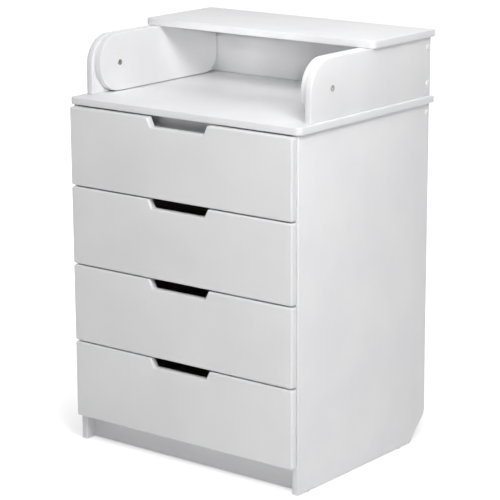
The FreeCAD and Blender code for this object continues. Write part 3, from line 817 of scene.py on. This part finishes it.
def stage_material():
    """Paper-white floor: plain to the lamps, and lifted to white where it is only seen."""
    material = bpy.data.materials.new("white_studio_paper")
    material.use_nodes = True
    tree = material.node_tree
    tree.nodes.clear()
    coords = add(tree, "TexCoord").outputs["Object"]
    paper = add(tree, "BsdfDiffuse",
                {"Color": two_tone(tree, coords, "EFEFEF", "F2F2F2", size_mm=900)})
    away = add(tree, "VectorMath", {"Vector": coords}, operation="LENGTH")
    strength = add(tree, "MapRange", {"Value": away.outputs["Value"]},
                   {"From Min": LIFT_LOW_WITHIN, "From Max": LIFT_FULL_FROM,
                    "To Min": FLOOR_LIFT, "To Max": 1.0})
    lift = add(tree, "Emission", {"Strength": strength.outputs["Result"]},
               {"Color": (1, 1, 1, 1)})
    path = add(tree, "LightPath")
    seen = add(tree, "Math", {0: path.outputs["Is Camera Ray"], 1: path.outputs["Is Glossy Ray"]},
               operation="MAXIMUM")
    both = add(tree, "AddShader", {0: paper.outputs[0], 1: lift.outputs[0]})
    mix = add(tree, "MixShader", {0: seen.outputs[0], 1: paper.outputs[0], 2: both.outputs[0]})
    add(tree, "OutputMaterial", {"Surface": mix.outputs[0]})
    return material


def build_stage():
    """A wide plain floor."""
    deselect_all()
    bpy.ops.mesh.primitive_plane_add(size=FLOOR_SIZE)
    floor = named("studio_floor")
    floor.data.materials.append(stage_material())


def build_world():
    """White where the camera or a reflection sees it, a soft grey as light."""
    world = bpy.data.worlds.new("studio")
    bpy.context.scene.world = world
    world.use_nodes = True
    tree = world.node_tree
    tree.nodes.clear()
    fill = add(tree, "Background", inputs={"Color": (1, 1, 1, 1), "Strength": WORLD_FILL})
    white = add(tree, "Background", inputs={"Color": (1, 1, 1, 1), "Strength": 1.0})
    path = add(tree, "LightPath")
    seen = add(tree, "Math", {0: path.outputs["Is Camera Ray"],
                              1: path.outputs["Is Glossy Ray"]}, operation="MAXIMUM")
    mix = add(tree, "MixShader", {0: seen.outputs[0], 1: fill.outputs[0], 2: white.outputs[0]})
    add(tree, "OutputWorld", {"Surface": mix.outputs[0]})


def hang_lamp(name, data, azimuth, elevation, distance, target):
    """A lamp that faces a point; azimuth 0 is straight ahead of the drawers."""
    turn = math.radians(azimuth)
    rise = math.radians(elevation)
    towards = Vector((math.sin(turn) * math.cos(rise), -math.cos(turn) * math.cos(rise),
                      math.sin(rise)))
    lamp = bpy.data.objects.new(name, data)
    lamp.location = Vector(target) + towards * distance
    lamp.rotation_mode = "QUATERNION"
    lamp.rotation_quaternion = (-towards).to_track_quat("-Z", "Y")
    bpy.context.scene.collection.objects.link(lamp)


def soft_box(name, azimuth, elevation, distance, size, power, target=(0, 0, 0.5)):
    """A studio lamp of a width and height."""
    data = bpy.data.lights.new(name, "AREA")
    data.shape = "RECTANGLE"
    data.size, data.size_y = size
    data.energy = power
    hang_lamp(name, data, azimuth, elevation, distance, target)


def spot_row(name, azimuth, elevation, places_x, place_y, place_z, power):
    """Narrow spots side by side: they reach under the lid, where the soft boxes can't."""
    for index, place_x in enumerate(places_x):
        data = bpy.data.lights.new("%s_%d" % (name, index), "SPOT")
        data.energy = power
        data.spot_size = 2 * math.atan(SPOT_POOL_RADIUS / SPOT_DISTANCE)
        data.spot_blend = 1.0
        data.shadow_soft_size = SPOT_SOURCE_RADIUS
        hang_lamp(data.name, data, azimuth, elevation, SPOT_DISTANCE,
                  (place_x, place_y, place_z))


def build_camera():
    """A plain camera at the photograph's viewing angle."""
    data = bpy.data.cameras.new("camera")
    data.sensor_width = CAMERA_SENSOR
    data.lens = CAMERA_LENS
    data.clip_end = CAMERA_CLIP_END
    camera = bpy.data.objects.new("camera", data)
    turn = (Matrix.Rotation(math.radians(CAMERA_YAW), 4, "Z")
            @ Matrix.Rotation(math.radians(90 - CAMERA_PITCH), 4, "X")
            @ Matrix.Rotation(math.radians(CAMERA_ROLL), 4, "Z"))
    camera.matrix_world = Matrix.Translation(CAMERA_PLACE) @ turn
    bpy.context.scene.collection.objects.link(camera)
    bpy.context.scene.camera = camera


# ---------------------------------------------------------------- the dresser
top_board("worktop", "cabinet")
top_board("lid_board", "changing_top")
for side_name in SIDE_NAMES:
    side_panel(side_name)
    outer_cheek(side_name)
    inner_cheek(side_name)
for board_node in ("bottom_panel", "plinth_board", "front_rail", "rear_rail"):
    plain_board(board_node, "cabinet")
plain_board("shelf_back_panel", "cabinet", BANDING_ROUNDING)
for drawer in DRAWERS:
    drawer_front(drawer)
    for part in ("side_left", "side_right", "back"):
        plain_board("drawer_%d_%s" % (drawer, part), "drawer_%d" % drawer, BANDING_ROUNDING)
rollers()
pivots()
glides()
cam_shape = cam_pattern()
dress_caps()
dress_cams(cam_shape)
dress_nails()
drawer_hardware(cam_shape)
remove(cam_shape)
dress_kept_nodes()

build_stage()
build_world()
soft_box("front_high", azimuth=20, elevation=45, distance=6, size=(1.7, 1.7), power=44)
soft_box("right_high", azimuth=60, elevation=30, distance=6, size=(1.7, 1.7), power=41)
soft_box("rear_high", azimuth=180, elevation=60, distance=4, size=(2.5, 2.5), power=36)
soft_box("near_corner", azimuth=45, elevation=40, distance=2.2, size=(0.8, 0.8), power=30,
         target=(0.2, 0, 0.85))
spot_row("niche_left", azimuth=40, elevation=10, power=83,
         places_x=(-0.27, -0.15, -0.03), place_y=0.12, place_z=0.86)
spot_row("niche_front", azimuth=0, elevation=20, power=22,
         places_x=(-0.24, -0.12, 0, 0.12, 0.24), place_y=0.16, place_z=0.82)
spot_row("niche_right", azimuth=30, elevation=30, power=34,
         places_x=(-0.2, -0.08, 0.04, 0.16), place_y=0.12, place_z=0.8)
build_camera()
bpy.context.scene.view_settings.view_transform = "Standard"
